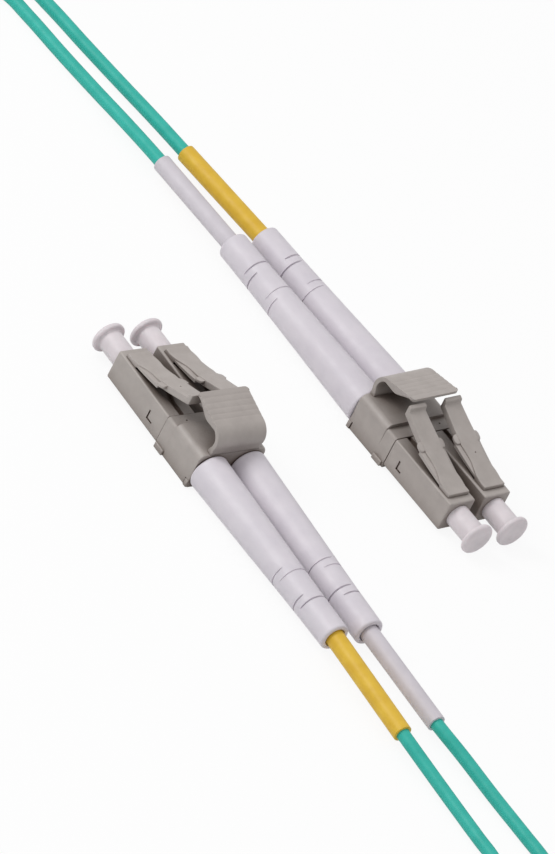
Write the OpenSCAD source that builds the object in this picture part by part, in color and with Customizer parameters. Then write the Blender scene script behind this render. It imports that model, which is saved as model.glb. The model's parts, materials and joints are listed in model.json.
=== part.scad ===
// Duplex LC fibre optic patch cord: two duplex plugs joined by two single-fibre cords.
// Millimetres. Z = 0 is the surface that it lies on, and the origin is the centre of plug A's underside.
//
// Each half of a plug is drawn in its own frame: X forward along the ferrule, Y left, Z up,
// with the origin where the ferrule's axis crosses the front face of the nose.

/* [Connector interface] */
// Distance between the two ferrule axes of a plug
pitch = 6.25; // [6.1:0.05:6.6]
// Side of the square nose that enters the adapter
nose_w = 4.5; // [4.3:0.05:4.6]
// Diameter of the ceramic ferrule
ferrule_d = 1.25; // [1.1:0.05:1.4]
// Length of the ferrule that stands out of the nose
ferrule_out = 2; // [1.6:0.1:2.4]
// Length of the ferrule from its tip to its seat in the flange
ferrule_len = 6.5; // [6.1:0.1:7.2]
// Distance that the sprung ferrule can be pushed back
ferrule_float = 1.5; // [0.8:0.1:2]

/* [Ferrule flange and spring] */
// Diameter of the flange's barrel
barrel_d = 2.2; // [2:0.05:2.3]
// Distance across the flats of the flange's hexagonal collar
collar_w = 2.6; // [2.4:0.05:2.7]
// Length of the collar
collar_len = 1; // [0.8:0.1:1.3]
// Depth of the collar's stop behind the front of the nose
stop_depth = 4; // [3.8:0.1:4.3]
// Diameter of the flange's tail, inside the spring
tail_d = 1.4; // [1.3:0.05:1.5]
// Length of the tail
tail_len = 2.5; // [2:0.1:3]
// Length of the spring as installed
spring_len = 4.4; // [4:0.1:4.8]
// Wire diameter of the spring
spring_wire_d = 0.26; // [0.2:0.02:0.3]
// Turns of the spring
spring_turns = 6; // [5:1:7]

/* [Housing] */
// Length of the housing in front of the clip
housing_len = 12.3; // [12:0.1:13]
// Radius of the housing's long edges
housing_edge_r = 0.28; // [0.1:0.02:0.4]
// Diameter of the bore around the ferrule
nose_bore_d = 2.5; // [2.4:0.05:2.6]
// Length of the housing's neck inside the clip
neck_len = 3; // [2.6:0.1:3.2]
// Side of the square neck
neck_w = 4; // [3.95:0.05:4.1]
// Depth of the pocket under the latch
pocket_depth = 0.3; // [0.2:0.05:0.35]
// Width of the gap around the snap tab on each side
mark_w = 0.2; // [0.1:0.02:0.26]
// Depth of that gap
mark_depth = 0.1; // [0.05:0.01:0.14]

/* [Latch arm] */
// Length of the latch from its hinge to its free end
latch_len = 11.5; // [11:0.1:11.8]
// Distance of the latch's hinge behind the front of the nose
latch_hinge_x = 2.1; // [2:0.05:2.3]
// Height of the latch root above the housing
latch_root_h = 0.55; // [0.5:0.01:0.62]
// Width of the latch at its root
latch_root_w = 3.6; // [3.4:0.05:3.8]
// Width of the narrow part and of the free arm
latch_arm_w = 2.7; // [2.5:0.05:2.9]
// Width across the two shoulders that lock in the adapter
latch_shoulder_w = 4.5; // [4.2:0.05:4.6]
// Rise of the latch from its root to its free end
latch_rise = 3.7; // [3.4:0.05:3.8]
// Thickness of the free end of the latch
latch_t = 0.95; // [0.85:0.05:1]
// Height of the lip at the free end
latch_lip_h = 0.55; // [0.4:0.05:0.6]
// Largest press of the latch, in degrees
latch_press = 10; // [6:0.5:10]

/* [Duplex clip] */
// Width of the clip
clip_w = 11.2; // [11.15:0.05:11.6]
// Length of the clip
clip_len = 8; // [7.8:0.1:8.6]
// Length of the lower collar at the clip's front
clip_collar_len = 2; // [1.6:0.1:2.4]
// Height of the clip's top above the ferrule's axis
clip_top = 2.9; // [2.85:0.05:3]
// Radius of the clip's upper long edges
clip_edge_r = 1; // [0.7:0.05:1.1]
// How far the snap lugs stand out of the sides
lug_out = 0.3; // [0.2:0.05:0.4]

/* [Trigger] */
// Width of the trigger
trigger_w = 8.1; // [7.6:0.1:8.6]
// Radius of the trigger's curved back
trigger_back_r = 2.2; // [2:0.05:2.3]
// Thickness of the trigger's back
trigger_t = 0.8; // [0.7:0.05:0.9]
// Thickness of the trigger's front edge
trigger_edge_t = 0.42; // [0.35:0.01:0.5]
// Number of grip grooves across the trigger
trigger_grooves = 5; // [3:1:6]
// Spacing of the grip grooves
groove_pitch = 0.85; // [0.7:0.05:0.9]
// Depth of the grip grooves
groove_depth = 0.1; // [0.06:0.01:0.14]

/* [Boot and crimp] */
// Diameter of the boot where it leaves the clip
boot_front_d = 5.5; // [5.2:0.05:5.6]
// Diameter of the boot near its rear end
boot_rear_d = 4.2; // [4:0.05:4.6]
// Length of the boot behind the clip
boot_len = 30.9; // [29:0.1:33]
// Diameter of the hole in the boot's rear end
boot_mouth_d = 2.7; // [2.6:0.05:2.9]
// Radius of the rounded rim at the boot's rear end
boot_rim_r = 0.3; // [0.2:0.02:0.4]
// Distance from the boot's rear end to its first bend slit
slit_from_end = 5.5; // [5:0.1:6]
// Spacing of crossed slits in a pair
slit_step = 1.2; // [1:0.1:1.4]
// Spacing of the two pairs of slits
slit_pair_step = 4.9; // [4.5:0.1:5.5]
// Width of a bend slit
slit_w = 0.28; // [0.2:0.02:0.4]
// Outer diameter of the crimp sleeve
crimp_d = 3.1; // [3:0.02:3.14]
// Length of the crimp sleeve
crimp_len = 5; // [4.6:0.1:5.4]

/* [Dust cap] */
// Diameter of the dust cap's barrel
cap_d = 3.3; // [3.1:0.05:3.5]
// Diameter of the dust cap's rim
cap_rim_d = 4.7; // [4.4:0.05:4.9]
// Length of the dust cap
cap_len = 4.9; // [4.5:0.1:5.4]
// Thickness of the rim
cap_rim_t = 0.8; // [0.6:0.05:1]

/* [Cord] */
// Diameter of one cord
cord_d = 1.8; // [1.7:0.02:1.82]
// Diameter of the marker sleeve on each cord
sleeve_d = 2.3; // [2.2:0.02:2.5]
// Visible length of the yellow marker sleeve
sleeve_len = 17; // [15:0.1:18]
// How much shorter the white marker sleeve is
sleeve_short = 0.8; // [0:0.1:1.5]
// Turns of cord beside each other in a layer of the coil
coil_columns = 4; // [4:1:4]
// Layers of each cord in the coil
coil_layers = 2; // [2:1:2]
// Thickness of the tie's strap
tie_t = 0.4; // [0.3:0.05:0.5]
// Width of the tie's strap
tie_w = 5; // [4:0.5:6]

/* [Clearances] */
// Gap at hinges, slides and other running fits
run_gap = 0.05; // [0.04:0.01:0.06]
// Gap between pieces that are assembled and stay
seat_gap = 0.02; // [0.01:0.005:0.03]
// Gap between the latch lips and the trigger above them
press_gap = 0.25; // [0.2:0.05:0.35]

/* [Hidden] */
PLUGS = ["a", "b"];
CORES = ["yellow", "white"];
PIECES = ["dust_cap", "ferrule", "ferrule_flange", "spring", "housing", "latch",
    "rear_body", "crimp_sleeve", "boot", "marker_sleeve"];
TIES = ["1", "2"];

round_fn = 48;
fine_fn = 24;
eps = 0.01;

// Colours of the pieces
housing_col = [0.63, 0.60, 0.56];
boot_col = [0.86, 0.83, 0.87];
cap_col = [0.93, 0.89, 0.92];
ceramic_col = [0.95, 0.95, 0.93];
steel_col = [0.72, 0.72, 0.74];
cord_col = [0.24, 0.70, 0.63];
sleeve_cols = [[0.88, 0.71, 0.27], [0.87, 0.84, 0.88]];
tie_col = [0.15, 0.15, 0.16];

// Places along the ferrule's axis, counted back from the front of the nose
ferrule_seat = ferrule_len - ferrule_out;
collar_back = stop_depth + collar_len;
tail_back = ferrule_seat + tail_len;
spring_back = collar_back + spring_len;
clip_front = housing_len;
neck_back = housing_len + neck_len;
rear_flange_len = 0.8;
rear_flange_back = neck_back + rear_flange_len;
clip_back = clip_front + clip_len;
clip_mid = (clip_front + clip_back) / 2;
boot_neck_front = rear_flange_back + run_gap;
crimp_front = rear_flange_back + 0.3;
crimp_back = crimp_front + crimp_len;
crimp_step = crimp_back - 1.4;
crimp_bore_back = crimp_step - 0.3;
stem_back = crimp_bore_back - run_gap;
boot_back = clip_back + run_gap + boot_len;

window_back = clip_front - 2;
window_len = 1.3;

// Heights above the ferrule's axis
half_nose = nose_w / 2;
axis_h = boot_front_d / 2 + run_gap;
clip_bottom = -axis_h;
collar_w_half = pitch / 2 + half_nose + 0.08;

// Bores, from what they hold
collar_corner_d = collar_w / cos(30);
cavity_d = collar_corner_d + 2 * run_gap;
rear_tube_d = cavity_d + 0.4;
rear_bore_d = rear_tube_d + 2 * seat_gap;
fibre_bore_d = 0.9;
cord_bore_d = cord_d + 2 * seat_gap;
stem_d = 2.5;
stem_bore_d = 1.8;
crimp_bore_d = stem_d + 2 * seat_gap;
boot_bore_d = crimp_d + 2 * run_gap;
boot_neck_d = boot_bore_d + 1.1;
clip_bore_d = boot_neck_d + 2 * run_gap;
cap_bore_d = ferrule_d + 2 * seat_gap;

// Latch: the hinge bead lies in a groove of the housing, and the arm curves up behind it
bead_r = 0.5;
latch_hinge_z = half_nose + latch_root_h - bead_r;
latch_front_x = 1.15;
latch_bow = 0.0085;
latch_slope = (latch_rise - latch_bow * latch_len ^ 2) / latch_len;
latch_root_t = 0.62;
lip_len = 0.6;
lip_top = latch_hinge_z + bead_r + latch_rise + latch_lip_h;
waist_at = 3.8;
waist = latch_arm_w / 2 + 0.07;
shoulder_from = 6;
shoulder_to = 6.7;

// Trigger: the hinge bead lies in a groove along the clip's rear top edge
trigger_hinge = [-(clip_back - 0.4), clip_top + 0.1];
trigger_mid = trigger_hinge + [1.6, 1.5];
trigger_front_x = -(latch_hinge_x + latch_len + 0.1);
trigger_edge_z = lip_top + press_gap;

// The two places where the axis of each half bends: half the spacing of the cords there
boot_end_y = [[2.62, 2.64], [2.9, 3.04]];
sleeve_end_y = [[2.24, 2.65], [2.6, 3.5]];
sleeve_drop = 0.5;

// Pose of each plug: centre of its underside, and the heading of its nose
plug_pos = [[0, 0], [-20.5, -23.9]];
plug_yaw = [-35, 141];

// Free stretches of the cords, from the marker sleeve of plug A to the coil
to_coil = [
    [[-47, 36, 1.7], [-53, 40.2, 1.2], [-59.5, 44.5, 0.9], [-66, 48.5, 0.9], [-70.4, 50.8, 0.9],
     [-75.4, 51.8, 0.9], [-80.2, 50.6, 0.9], [-84.4, 47.4, 0.9], [-86.8, 42.6, 0.9], [-87.2, 36, 0.9],
     [-86.6, 26, 0.9], [-85.4, 13, 0.9], [-84, 0, 0.9], [-82.8, -16, 0.9], [-81.6, -32, 0.9], [-80.6, -46, 0.9],
     [-80, -57, 1.4], [-79.4, -67, 3.2], [-78.4, -76, 5]],
    [[-49.5, 31.9, 1.7], [-55.3, 36, 1.2], [-61.8, 40.4, 0.9], [-68, 44.4, 0.9], [-71.6, 46.4, 0.9],
     [-75.6, 47.1, 0.9], [-79.2, 45.9, 0.9], [-82, 43.1, 0.9], [-83.4, 38.8, 0.9], [-83.4, 33, 0.9],
     [-82.8, 24, 0.9], [-81.8, 12, 0.9], [-80.5, 0, 0.9], [-79.2, -16, 0.9], [-78.2, -32, 0.9], [-77.6, -48, 0.9],
     [-77.4, -62, 0.9], [-77.4, -74, 1.1]]
];

// Free stretches of the cords, from the coil to the marker sleeve of plug B
from_coil = [
    [[-67.5, -101, 6.2], [-62, -105.4, 4.4], [-56, -109.5, 2.4], [-49.5, -113.4, 1.2],
     [-42, -117.4, 0.9], [-34, -120.8, 0.9], [-25.5, -123.4, 0.9], [-17, -124.2, 0.9],
     [-8.5, -122, 0.9], [0, -116.8, 0.9], [11, -108, 0.9], [21.5, -98.6, 0.9], [30.6, -90.1, 0.9],
     [36.7, -82.8, 0.9], [38.3, -79.7, 0.9], [38.5, -76.5, 0.9], [37.5, -73.4, 0.9], [35.4, -71, 0.9],
     [33, -69.1, 0.9], [27.8, -65.1, 1.1], [22.4, -61.4, 1.7]],
    [[-67.6, -101.6, 2.7], [-61.5, -107.4, 1.4], [-54, -113.3, 0.9], [-45, -118.6, 0.9],
     [-35.5, -123, 0.9], [-26, -126.2, 0.9], [-16.5, -127.4, 0.9], [-7.4, -125.2, 0.9],
     [1.5, -119.8, 0.9], [12.8, -110.6, 0.9], [24, -101, 0.9], [35, -91.3, 0.9],
     [41.6, -85, 0.9], [45.2, -80, 0.9], [46, -74.6, 0.9], [44.6, -69.8, 0.9], [41.6, -66.6, 0.9],
     [37.9, -63.8, 0.9], [32.1, -59.8, 1.1], [26.3, -56.1, 1.7]]
];

// The coil: its centre, the middle radius of its turns, and where the cords join and leave it
coil_pos = [-64, -86];
coil_r = 12 * cord_d / 2;
coil_in = 180;
coil_out = 225;
tie_angles = [120, 300];
coil_h = coil_layers * cord_d;
coil_half_w = coil_columns * cord_d / 2;

// Point on the outermost turn of a cord's coil
function coil_point(core, angle, layer) = let (r = coil_r + coil_half_w - cord_d / 2)
    [coil_pos.x + r * cos(angle), coil_pos.y + r * sin(angle),
     tie_t + (1 - core) * coil_h + (layer + 0.5) * cord_d];

// Side of a core in its plug's frame: the yellow one is on the left
function side(core) = core == 0 ? 1 : -1;

// A point of a plug's frame, in the frame of the whole part
function placed(p, plug) = let (c = cos(plug_yaw[plug]), s = sin(plug_yaw[plug]), x = p.x + clip_mid)
    [plug_pos[plug].x + c * x - s * p.y, plug_pos[plug].y + s * x + c * p.y, p.z + axis_h];

// Where the core's axis leaves the crimp sleeve, the boot and the marker sleeve
function core_axis(plug, core) = [
    [-crimp_back + 1.2, side(core) * pitch / 2, 0],
    [-clip_back, side(core) * pitch / 2, 0],
    [-boot_back, side(core) * boot_end_y[core][plug], 0],
    [-boot_back - sleeve_len + core * sleeve_short, side(core) * sleeve_end_y[core][plug], -sleeve_drop]
];
function core_path(plug, core) = [for (p = core_axis(plug, core)) placed(p, plug)];
function reversed(v) = [for (i = [len(v) - 1:-1:0]) v[i]];

// Polygon corners rounded by arcs: each corner is [x, y, radius]
function rounded(corners, steps = 5) = [
    for (i = [0:len(corners) - 1])
    let (
        n = len(corners),
        p = [corners[i].x, corners[i].y],
        a = [corners[(i + n - 1) % n].x, corners[(i + n - 1) % n].y] - p,
        b = [corners[(i + 1) % n].x, corners[(i + 1) % n].y] - p,
        ua = a / norm(a),
        ub = b / norm(b),
        half = acos(ua * ub) / 2,
        r = corners[i][2],
        mid = p + (ua + ub) / norm(ua + ub) * r / sin(half),
        from = p + ua * r / tan(half) - mid,
        to = p + ub * r / tan(half) - mid
    )
    for (k = [0:r > 0 ? steps : 0])
    r > 0 ? mid + turned_to(from, to, k / steps) : p
];
function turned_to(u, v, t) = let (w = acos(min(1, u * v / (norm(u) * norm(v)))))
    (u * sin((1 - t) * w) + v * sin(t * w)) / sin(w);

// Smooth step from 0 to 1
function eased(t) = (1 - cos(180 * min(1, max(0, t)))) / 2;

// Outline in the plane across the ferrule's axis, drawn out from x = -back to x = -front
module along_axis(front, back) {
    translate([-back, 0, 0]) rotate([90, 0, 90]) linear_extrude(back - front) children();
}

// Side view in the X-Z plane, drawn out across the width w
module across(w) {
    translate([0, w / 2, 0]) rotate([90, 0, 0]) linear_extrude(w) children();
}

// Profile of [distance back from the nose, radius] turned about the ferrule's axis
module turned(profile, fn = round_fn) {
    rotate([0, -90, 0]) rotate_extrude($fn = fn) polygon([for (p = profile) [p[1], p[0]]]);
}

module rod(front, back, d, fn = round_fn) {
    translate([-back, 0, 0]) rotate([0, 90, 0]) cylinder(h = back - front, d = d, $fn = fn);
}

// Solid between two points of the part's frame, drawn from a rod along X
module between(p, q) {
    d = q - p;
    translate(p) rotate([0, -asin(d.z / norm(d)), atan2(d.y, d.x)]) children();
}

module in_plug(plug) {
    translate([plug_pos[plug].x, plug_pos[plug].y, axis_h]) rotate([0, 0, plug_yaw[plug]])
        translate([clip_mid, 0, 0]) children();
}

module in_core(plug, core) {
    in_plug(plug) translate([0, side(core) * pitch / 2, 0]) children();
}

// Sockets in the clip for the two halves
module for_both_cores() {
    for (s = [-1, 1]) translate([0, s * pitch / 2, 0]) children();
}

// ---- Pieces of each half of a plug ----

module ferrule() {
    tip_r = ferrule_d / 2 - 0.17;
    color(ceramic_col) turned([
        [-ferrule_out, 0], [-ferrule_out, tip_r], [0.25 - ferrule_out, ferrule_d / 2],
        [ferrule_seat, ferrule_d / 2], [ferrule_seat, 0]
    ]);
}

module ferrule_flange() {
    barrel_front = stop_depth - 0.6;
    color(steel_col) difference() {
        union() {
            rod(barrel_front, ferrule_seat + 0.4, barrel_d);
            rod(stop_depth + run_gap, collar_back, collar_corner_d, 6);
            rod(ferrule_seat, tail_back, tail_d);
        }
        rod(0, ferrule_seat, ferrule_d + seat_gap);
        rod(ferrule_seat - eps, tail_back + eps, fibre_bore_d);
    }
}

// Compression spring: round wire swept along a helix as one closed solid
module spring() {
    wire_sides = 6;
    steps = 12;
    wire_r = spring_wire_d / 2;
    helix_r = tail_d / 2 + run_gap + wire_r;
    front = collar_back + run_gap + wire_r;
    back = spring_back - run_gap - wire_r;
    rings = spring_turns * steps;
    ring = [for (i = [0:rings]) let (turn = i * 360 / steps, x = front + (back - front) * i / rings)
        [for (k = [0:wire_sides - 1]) let (a = k * 360 / wire_sides, r = helix_r + wire_r * cos(a))
            [-(x + wire_r * sin(a)), r * cos(turn), r * sin(turn)]]];
    color(steel_col) tube_solid(ring);
}

// Closed solid through a list of rings of points
module tube_solid(rings) {
    n = len(rings[0]);
    last = len(rings) - 1;
    polyhedron(
        points = [for (ring = rings) each ring],
        faces = concat(
            [[for (k = [0:n - 1]) k]],
            [for (i = [0:last - 1], k = [0:n - 1]) let (m = (k + 1) % n)
                [i * n + k, (i + 1) * n + k, (i + 1) * n + m, i * n + m]],
            [[for (k = [n - 1:-1:0]) last * n + k]]
        )
    );
}

module housing_outline(w, edge) {
    h = w / 2;
    polygon(rounded([[h, h, edge], [-h, h, edge], [-h, -h, edge], [h, -h, edge]]));
}

module housing() {
    pocket_front = latch_hinge_x + bead_r - run_gap;
    pocket_back = clip_front - 1.1;
    color(housing_col) difference() {
        union() {
            along_axis(0, housing_len) housing_outline(nose_w, housing_edge_r);
            along_axis(housing_len - eps, neck_back) housing_outline(neck_w, housing_edge_r);
        }
        rod(-eps, stop_depth + eps, nose_bore_d);
        rod(stop_depth, spring_back + eps, cavity_d);
        rod(spring_back, neck_back + eps, rear_bore_d);
        translate([-latch_hinge_x, latch_root_w / 2 + run_gap, latch_hinge_z]) rotate([90, 0, 0])
            cylinder(h = latch_root_w + 2 * run_gap, r = bead_r + run_gap, $fn = round_fn);
        translate([-pocket_back, -latch_root_w / 2 - run_gap, half_nose - pocket_depth])
            cube([pocket_back - pocket_front, latch_root_w + 2 * run_gap, 2 * pocket_depth]);
        translate([-window_back, -half_nose, 0]) window_gap(window_len - mark_w);
        rotate([0, 0, 180]) translate([window_back - window_len, -half_nose, 0]) window_gap(mark_w * 4.5);
    }
}

// Two sides of the gap around the snap tab in its window: an upright one and a foot in front of it
module window_gap(foot) {
    top = 0.4;
    bottom = -0.9;
    translate([0, -mark_depth, bottom]) cube([mark_w, 2 * mark_depth, top - bottom]);
    translate([0, -mark_depth, bottom - mark_w / 2]) cube([foot, 2 * mark_depth, mark_w]);
}

// Height of the latch's upper face, and half its width, at a distance behind its hinge
function latch_top(d) = latch_hinge_z + bead_r + latch_slope * d + latch_bow * d ^ 2;
function latch_half_w(d) = let (root = latch_root_w / 2, arm = latch_arm_w / 2, full = latch_shoulder_w / 2)
    d < waist_at ? root + (waist - root) * eased(d / waist_at)
    : d <= shoulder_to ? waist + (full - waist) * eased((d - waist_at) / (shoulder_from - waist_at))
    : arm + 0.25 * (1 - eased((d - shoulder_to) / 1.2));

module latch() {
    low_from = bead_r;
    thickness = function (d) latch_root_t + (latch_t - latch_root_t) * d / latch_len;
    stations = [0, 0.6, 1.2, 1.8, 2.4, 3, waist_at, 4.4, 4.8, 5.2, 5.6, 6, shoulder_to];
    rear = [shoulder_to + eps, 7, 7.4, 7.9, latch_len - 1.2, latch_len];
    plan = concat([-bead_r], stations, rear);
    color(housing_col) translate([-latch_hinge_x, 0, 0]) union() {
        intersection() {
            across(2 * nose_w) polygon(concat(
                [for (d = [0:latch_len / 12:latch_len]) [-d, latch_top(d)]],
                [for (d = reversed([for (k = [0:11]) low_from + k * (latch_len - low_from) / 11]))
                    [-d, latch_top(d) - thickness(d)]],
                [[0, latch_hinge_z]]
            ));
            linear_extrude(3 * nose_w) polygon(concat(
                [for (d = plan) [-d, latch_half_w(max(0, d))]],
                [for (d = reversed(plan)) [-d, -latch_half_w(max(0, d))]]
            ));
        }
        across(latch_root_w) polygon([
            [-bead_r, half_nose + 3 * run_gap], [0, half_nose + run_gap],
            [latch_hinge_x - latch_front_x, half_nose + run_gap],
            [latch_hinge_x - latch_front_x, latch_hinge_z + bead_r - 0.1],
            [latch_hinge_x - latch_front_x - 0.1, latch_hinge_z + bead_r],
            [0, latch_hinge_z + bead_r], [-bead_r, latch_top(bead_r)]
        ]);
        across(latch_arm_w) polygon([
            [-latch_len, latch_top(latch_len) - latch_t], [-latch_len, lip_top - 0.12],
            [-latch_len + 0.12, lip_top], [-latch_len + lip_len, lip_top],
            [-latch_len + lip_len + 0.15, latch_top(latch_len - lip_len) - 0.05]
        ]);
        translate([0, latch_root_w / 2, latch_hinge_z]) rotate([90, 0, 0])
            cylinder(h = latch_root_w, r = bead_r, $fn = round_fn);
    }
}

// Body that closes the housing behind the spring and carries the crimp
module rear_body() {
    color(housing_col) difference() {
        union() {
            rod(spring_back + run_gap, neck_back + eps, rear_tube_d);
            rod(neck_back, rear_flange_back, neck_w - 2 * seat_gap);
            rod(rear_flange_back - eps, stem_back, stem_d);
        }
        rod(spring_back, crimp_back, stem_bore_d);
    }
}

module crimp_sleeve() {
    tail_r = cord_bore_d / 2 + 0.3;
    color(steel_col) difference() {
        turned([
            [crimp_front, 0], [crimp_front, crimp_d / 2], [crimp_bore_back, crimp_d / 2],
            [crimp_step, tail_r], [crimp_back, tail_r], [crimp_back, 0]
        ]);
        rod(crimp_front - eps, crimp_bore_back, crimp_bore_d);
        rod(crimp_front, crimp_back + eps, cord_bore_d);
    }
}

// Tapered strain relief, drawn back from the rear face of the clip
module boot() {
    neck_front = boot_neck_front - clip_back;
    shoulder = run_gap;
    end = run_gap + boot_len;
    rear_r = boot_rear_d / 2;
    bore_end = crimp_back - clip_back + 0.6;
    front_edge = 0.35;
    color(boot_col) difference() {
        turned(concat(
            [[neck_front, 0], [neck_front, boot_neck_d / 2], [shoulder, boot_neck_d / 2],
             [shoulder, boot_front_d / 2 - front_edge], [shoulder + front_edge, boot_front_d / 2],
             [end - slit_from_end, rear_r]],
            [for (a = [0:18:90]) [end - boot_rim_r + boot_rim_r * sin(a),
                rear_r - 0.05 - boot_rim_r + boot_rim_r * cos(a)]],
            [[end, 0]]
        ));
        rod(neck_front - eps, bore_end, boot_bore_d);
        rod(neck_front, end + eps, boot_mouth_d);
        for (pair = [0, 1], crossed = [0, 1], turn = [0, 180]) {
            at = end - slit_from_end - pair * slit_pair_step - crossed * slit_step;
            translate([-at - slit_w / 2, 0, 0]) rotate([turn + 90 * crossed, 0, 0])
                translate([0, -boot_front_d / 2, 0.57 * rear_r])
                    cube([slit_w, boot_front_d, boot_front_d / 2]);
        }
    }
}

module dust_cap() {
    r = cap_d / 2;
    rim_r = cap_rim_d / 2;
    round_r = cap_rim_t / 2;
    rim_mid = cap_len - round_r;
    color(cap_col) difference() {
        turned(concat(
            [[-run_gap, 0], [-run_gap, r - 0.08], [-run_gap - 0.08, r], [0.5 - rim_mid, r],
             [0.1 - rim_mid, r + 0.35]],
            [for (a = [-60:15:90]) [-rim_mid - round_r * sin(a), rim_r - round_r + round_r * cos(a)]],
            [[-cap_len, rim_r - round_r], [-cap_len, 0]]
        ));
        rod(-ferrule_out - 0.8, eps, cap_bore_d);
    }
}

// ---- Pieces that both halves share ----

module clip_outline(top, top_r, top_w) {
    h = top_w / 2;
    low = collar_w_half;
    polygon(rounded([[h, top, top_r], [-h, top, top_r], [-low, -0.5, 0.1], [-low, clip_bottom, 0.35],
        [low, clip_bottom, 0.35], [low, -0.5, 0.1]]));
}

module clip() {
    collar_back_x = clip_front + clip_collar_len;
    socket_back = rear_flange_back + run_gap;
    socket_w = neck_w + 2 * run_gap;
    lug_len = 1.8;
    lug_from = clip_front + 0.25;
    lug_low = clip_bottom + 0.12;
    rear_lug_from = clip_back - 0.75;
    color(housing_col) difference() {
        union() {
            along_axis(clip_front + seat_gap, collar_back_x)
                clip_outline(half_nose + 0.1, 0.45, 2 * collar_w_half + 0.02);
            along_axis(collar_back_x - eps, clip_back) clip_outline(clip_top, clip_edge_r, clip_w);
            for (s = [-1, 1]) {
                lug_side = s * (collar_w_half + lug_out / 2);
                translate([-lug_from - lug_len, lug_side - (lug_out / 2 + eps), lug_low])
                    cube([lug_len, lug_out + 2 * eps, 0.85]);
                translate([-clip_back, lug_side - (lug_out / 2 + eps), lug_low])
                    cube([clip_back - rear_lug_from, lug_out + 2 * eps, 1.1]);
            }
        }
        for_both_cores() {
            translate([-socket_back, -socket_w / 2, -socket_w / 2])
                cube([socket_back - clip_front + 1, socket_w, socket_w]);
            rod(socket_back - eps, clip_back + 1, clip_bore_d);
        }
        translate([trigger_hinge.x, trigger_w / 2 + run_gap, trigger_hinge[1]]) rotate([90, 0, 0])
            cylinder(h = trigger_w + 2 * run_gap, r = bead_r + run_gap, $fn = round_fn);
        for (s = [-1, 1]) translate([-rear_lug_from - 0.1, s * collar_w_half - 0.15, clip_bottom - eps])
            cube([0.16, 0.3, 1.3]);
    }
}

// The trigger's side view: a curved back, and a tongue whose front edge lies on both latches
function trigger_back(r, angle) = trigger_mid + r * [cos(angle), sin(angle)];
function bezier(p, q, r, t) = (1 - t) ^ 2 * p + 2 * t * (1 - t) * q + t ^ 2 * r;

module trigger_profile() {
    inner_r = trigger_back_r - trigger_t;
    front_top = [trigger_front_x, trigger_edge_z + trigger_edge_t];
    crest = trigger_back(trigger_back_r, 100);
    dip = trigger_back(inner_r, 112);
    dip_end = [trigger_mid.x + 1, dip[1] - 0.05];
    front_low = [trigger_front_x, trigger_edge_z];
    polygon(concat(
        [for (a = [215:-11.5:100]) trigger_back(trigger_back_r, a)],
        [for (t = [0.2:0.2:1]) bezier(crest, crest + [2.2, 0.5], front_top, t)],
        [for (t = [0:0.125:1]) [front_low.x + (dip_end.x - front_low.x) * t,
            front_low[1] + (dip_end[1] - front_low[1]) * eased(t)]],
        [for (a = [112:11.5:215]) trigger_back(inner_r, a)]
    ));
}

module trigger() {
    groove_r = 0.3;
    crest = trigger_back(trigger_back_r, 100);
    front_top = [trigger_front_x, trigger_edge_z + trigger_edge_t];
    color(housing_col) difference() {
        union() {
            across(trigger_w) trigger_profile();
            translate([trigger_hinge.x, trigger_w / 2, trigger_hinge[1]]) rotate([90, 0, 0])
                cylinder(h = trigger_w, r = bead_r, $fn = round_fn);
        }
        for (k = [1:trigger_grooves]) {
            t = 1 - k * groove_pitch / norm(front_top - crest);
            p = bezier(crest, crest + [2.2, 0.5], front_top, t);
            translate([p.x, trigger_w, p[1] + groove_r - groove_depth]) rotate([90, 0, 0])
                cylinder(h = 2 * trigger_w, r = groove_r, $fn = fine_fn);
        }
    }
}

// ---- Cords ----

// Eight-sided tube along a list of points, with a level ring at each
module cord_tube(path) {
    n = len(path) - 1;
    color(cord_col) tube_solid([for (i = [0:n])
        let (
            d = path[min(n, i + 1)] - path[max(0, i - 1)],
            u = d / norm(d),
            across_dir = cross([0, 0, 1], u) / norm(cross([0, 0, 1], u)),
            up_dir = cross(u, across_dir)
        )
        [for (k = [0:7]) path[i] + cord_d / 2 * (cos(45 * k + 22.5) * across_dir
            + sin(45 * k + 22.5) * up_dir)]]);
}

module cord_to_plug(plug, core) {
    if (plug == 0) {
        cord_tube(concat(core_path(0, core), to_coil[core], [coil_point(core, coil_in, 0)]));
    } else {
        cord_tube(concat([coil_point(core, coil_out, coil_layers - 1)], from_coil[core],
            reversed(core_path(1, core))));
    }
}

// Space that the wound turns of one cord fill
module cord_coil(core) {
    low = tie_t + (1 - core) * coil_h;
    inner = coil_r - coil_half_w;
    corner = cord_d / 2;
    color(cord_col) translate([coil_pos.x, coil_pos.y, low]) rotate_extrude($fn = 64)
        polygon(rounded([[inner + 2 * coil_half_w, coil_h, core == 0 ? corner : 0.05], [inner, coil_h,
            core == 0 ? corner : 0.05], [inner, 0, core == 0 ? 0.05 : corner],
            [inner + 2 * coil_half_w, 0, core == 0 ? 0.05 : corner]], 3));
}

module marker_sleeve(plug, core) {
    path = core_path(plug, core);
    inside = 0.8;
    from = path[2];
    to = path[3];
    color(sleeve_cols[core]) between(from, to) difference() {
        translate([-inside, 0, 0]) rotate([0, 90, 0])
            cylinder(h = norm(to - from) + inside, d = sleeve_d, $fn = round_fn);
        translate([-1, 0, 0]) rotate([0, 90, 0])
            cylinder(h = norm(to - from) + 2, d = cord_bore_d, $fn = round_fn);
    }
}

module placed_boot(plug, core) {
    path = core_path(plug, core);
    between(path[2], path[1]) translate([norm(path[1] - path[2]), 0, 0]) boot();
}

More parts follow.
